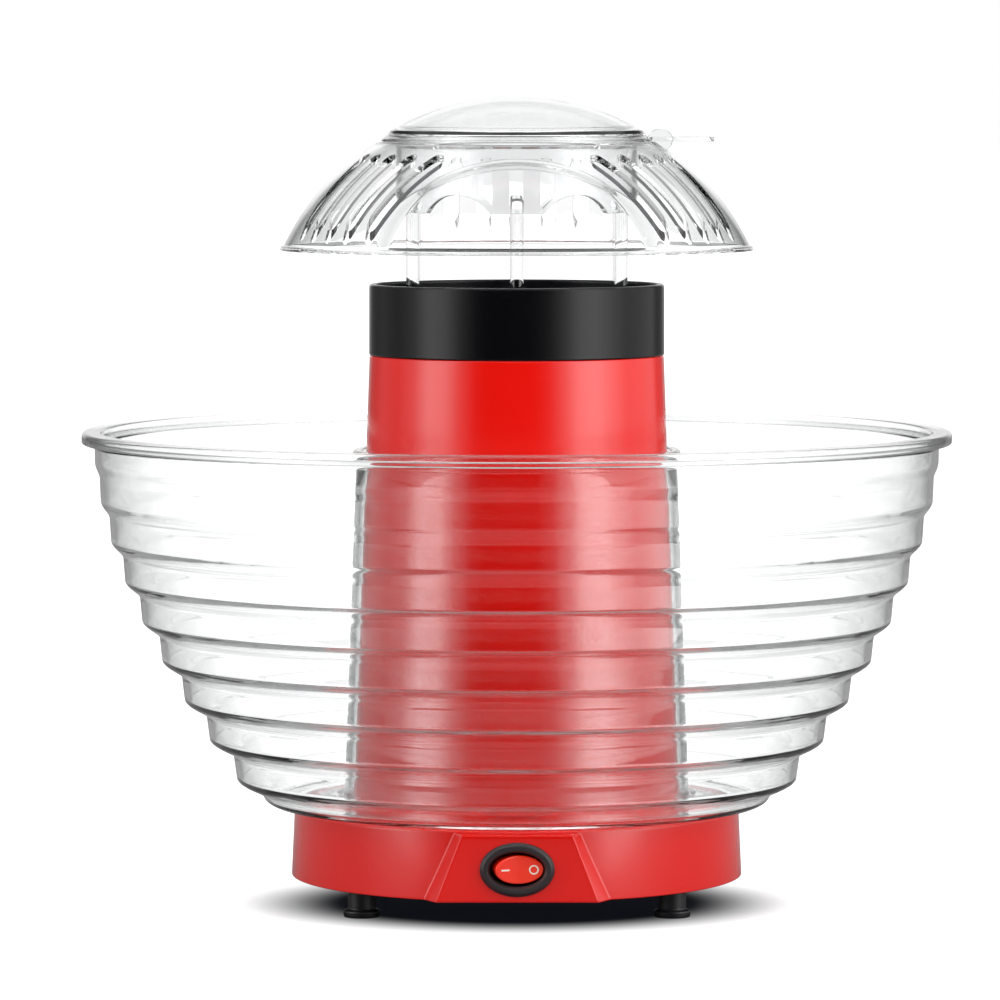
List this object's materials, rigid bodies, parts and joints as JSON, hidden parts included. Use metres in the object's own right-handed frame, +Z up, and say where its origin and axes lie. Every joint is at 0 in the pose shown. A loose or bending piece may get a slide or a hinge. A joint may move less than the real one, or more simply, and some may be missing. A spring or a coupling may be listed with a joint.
{
  "type": "popcorn maker",
  "caption": "Hot-air popcorn maker: a tower with a popping chamber, a clear ring-shaped bowl round it, and a clear vented hood with a measuring cup on top.",
  "frame": {"origin": "on the table, on the axis of the tower", "axes": "+Z up, -Y is the front with the switch, +X is the side with the measuring cup's handle"},
  "size_m": [0.34, 0.34, 0.3153],
  "materials": {
    "red_abs": "gloss moulded ABS",
    "black_pp": "satin moulded polypropylene",
    "foot_rubber": "matt rubber",
    "zinc_steel": "zinc plated",
    "black_pbt": "gloss moulded PBT",
    "gasket_silicone": "silicone",
    "chamber_aluminium": "spun, satin",
    "duct_steel": "galvanised sheet",
    "mica": "pressed mica sheet",
    "heater_wire": "oxidised resistance wire",
    "thermostat_body": "phenolic moulding",
    "fuse_ceramic": "glazed",
    "motor_steel": "zinc plated",
    "bronze": "sintered",
    "board_laminate": "solder mask",
    "diode_epoxy": "moulded epoxy",
    "shaft_steel": "ground steel",
    "fan_aluminium": "pressed sheet",
    "terminal_brass": "rolled",
    "rocker_pc": "translucent polycarbonate",
    "block_nylon": "moulded nylon",
    "wire_blue": "silicone insulation",
    "wire_brown": "silicone insulation",
    "wire_black": "silicone insulation",
    "clear_ps": "clear moulded polystyrene"
  },
  "bodies": {
    "base": {"base_shell": "red_abs", "bottom_cover": "black_pp", "foot_front_left": "foot_rubber", "foot_front_right": "foot_rubber", "foot_rear_left": "foot_rubber", "foot_rear_right": "foot_rubber", "foot_screws": "zinc_steel", "cover_screws": "zinc_steel", "tower_screws": "zinc_steel", "tower_shell": "red_abs", "top_ring": "black_pbt", "ring_gasket": "gasket_silicone", "popping_chamber": "chamber_aluminium", "chamber_screws": "zinc_steel", "air_duct": "duct_steel", "mica_frame": "mica", "heater_coil": "heater_wire", "thermostat": "thermostat_body", "thermal_fuse": "fuse_ceramic", "fan_housing": "black_pp", "motor_can": "motor_steel", "motor_cap": "black_pp", "motor_bush": "bronze", "motor_screws": "zinc_steel", "rectifier_board": "board_laminate", "diodes": "diode_epoxy", "switch_housing": "black_pbt", "switch_terminals": "terminal_brass", "cord_gland": "black_pp", "gland_nut": "black_pp", "terminal_block": "block_nylon", "wire_supply": "wire_blue", "wire_heater": "wire_brown", "wire_motor": "wire_black"},
    "rotor": {"motor_shaft": "shaft_steel", "fan_impeller": "fan_aluminium"},
    "rocker": {"switch_rocker": "rocker_pc"},
    "bowl": {"bowl": "clear_ps"},
    "hood": {"hood": "clear_ps", "hood_cage": "clear_ps"},
    "cup": {"measuring_cup": "clear_ps"}
  },
  "joints": [
    {"name": "rotor_spin", "type": "hinge", "parent": "base", "child": "rotor", "pos_m": [0, 0, 0.055], "axis": [0, 0, 1], "continuous": true},
    {"name": "rocker_press", "type": "hinge", "parent": "base", "child": "rocker", "pos_m": [0, -0.08677, 0.02319], "axis": [0, 0, -1], "range_deg": [0, 24]},
    {"name": "bowl_lift", "type": "slide", "parent": "base", "child": "bowl", "axis": [0, 0, 1], "range_m": [0, 0.07]},
    {"name": "hood_lift", "type": "slide", "parent": "base", "child": "hood", "axis": [0, 0, 1], "range_m": [0, 0.06]},
    {"name": "cup_lift", "type": "slide", "parent": "hood", "child": "cup", "axis": [0, 0, 1], "range_m": [0, 0.05]}
  ]
}
